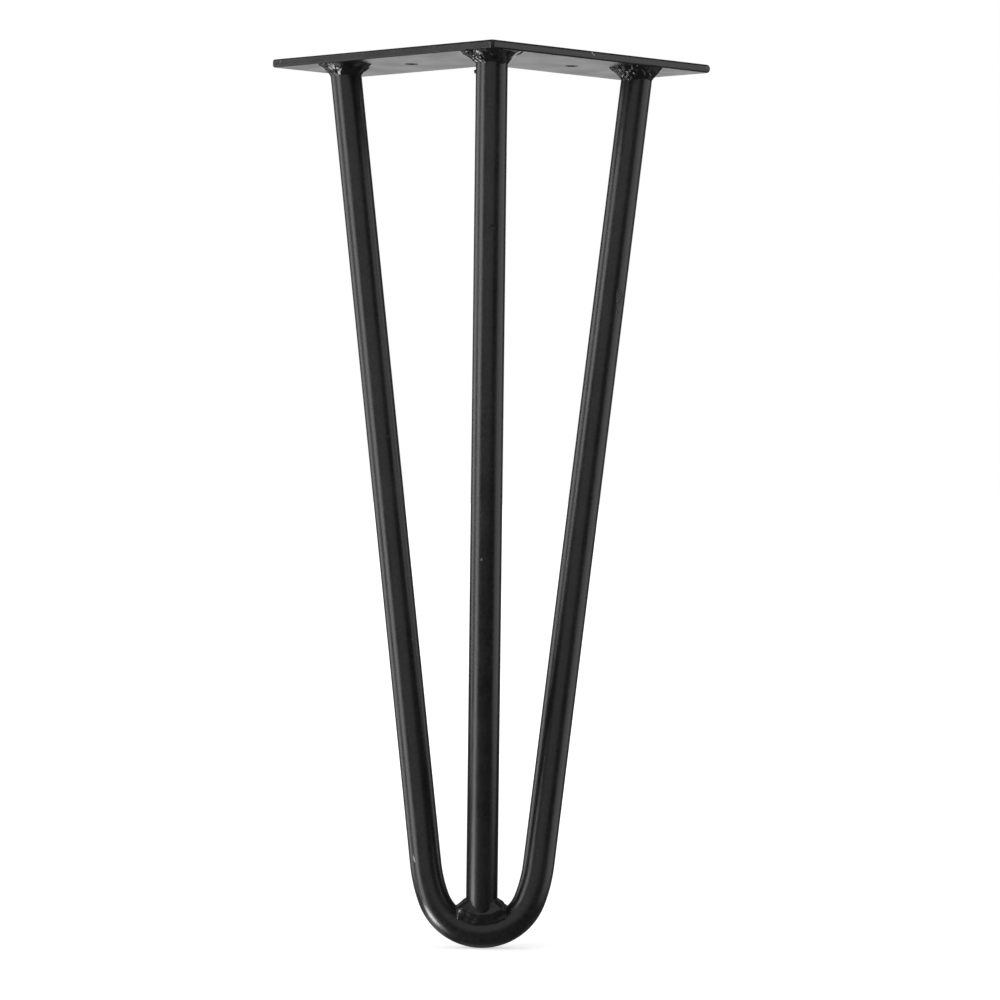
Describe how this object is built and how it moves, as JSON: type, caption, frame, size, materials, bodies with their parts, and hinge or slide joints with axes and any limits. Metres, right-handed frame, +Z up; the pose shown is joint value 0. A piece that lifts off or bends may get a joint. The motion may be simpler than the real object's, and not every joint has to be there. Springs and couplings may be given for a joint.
{
  "type": "hairpin table leg",
  "caption": "Welded steel hairpin leg: a bent round bar braced by a straight centre rod under an L-shaped screw plate, powder coated black.",
  "frame": {"origin": "on top of the plate, midway between its two screw holes", "axes": "+Z up into the table top, +X from the left arm to the right arm, +Y from the plate's outer corner inwards"},
  "size_m": [0.1756, 0.1225, 0.35],
  "materials": {
    "black_powder_coat": "satin black powder coat with a fine orange peel"
  },
  "bodies": {
    "root": {"mounting_plate": "black_powder_coat", "hairpin_bar": "black_powder_coat", "centre_rod": "black_powder_coat", "left_top_weld": "black_powder_coat", "right_top_weld": "black_powder_coat", "centre_top_weld": "black_powder_coat", "foot_weld": "black_powder_coat"}
  },
  "joints": []
}
